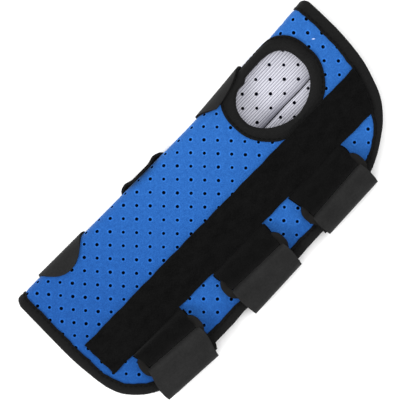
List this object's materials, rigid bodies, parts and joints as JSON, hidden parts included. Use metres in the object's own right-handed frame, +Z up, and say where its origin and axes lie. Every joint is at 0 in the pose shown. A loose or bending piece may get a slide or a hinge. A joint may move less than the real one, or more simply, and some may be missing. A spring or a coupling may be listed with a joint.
{
  "type": "wrist brace",
  "caption": "Wrist brace of a padded sheet folded along one side, bound with tape, with a thumb hole, a pile strip and straps turned round slotted rings.",
  "frame": {"origin": "on the surface it lies on, under the middle of the whole brace", "axes": "+X along the fold towards the hand end, +Y towards the fold, +Z up"},
  "size_m": [0.2538, 0.1138, 0.0264],
  "materials": {
    "shell_fabric": "perforated blue knit over foam",
    "lining_fabric": "white ribbed knit",
    "binding_tape": "black knitted tape",
    "pile_fabric": "black brushed pile",
    "ring_plastic": "satin black plastic",
    "strap_fabric": "dark grey flat strap"
  },
  "bodies": {
    "root": {"shell": "shell_fabric", "lining": "lining_fabric", "edge_binding": "binding_tape", "thumb_binding": "binding_tape", "front_strip": "pile_fabric", "tab_forearm": "pile_fabric", "tab_wrist": "pile_fabric", "tab_palm": "pile_fabric", "ring_forearm": "ring_plastic", "ring_wrist": "ring_plastic", "ring_palm": "ring_plastic", "strap_forearm": "strap_fabric", "strap_wrist": "strap_fabric", "strap_palm": "strap_fabric"}
  },
  "joints": []
}
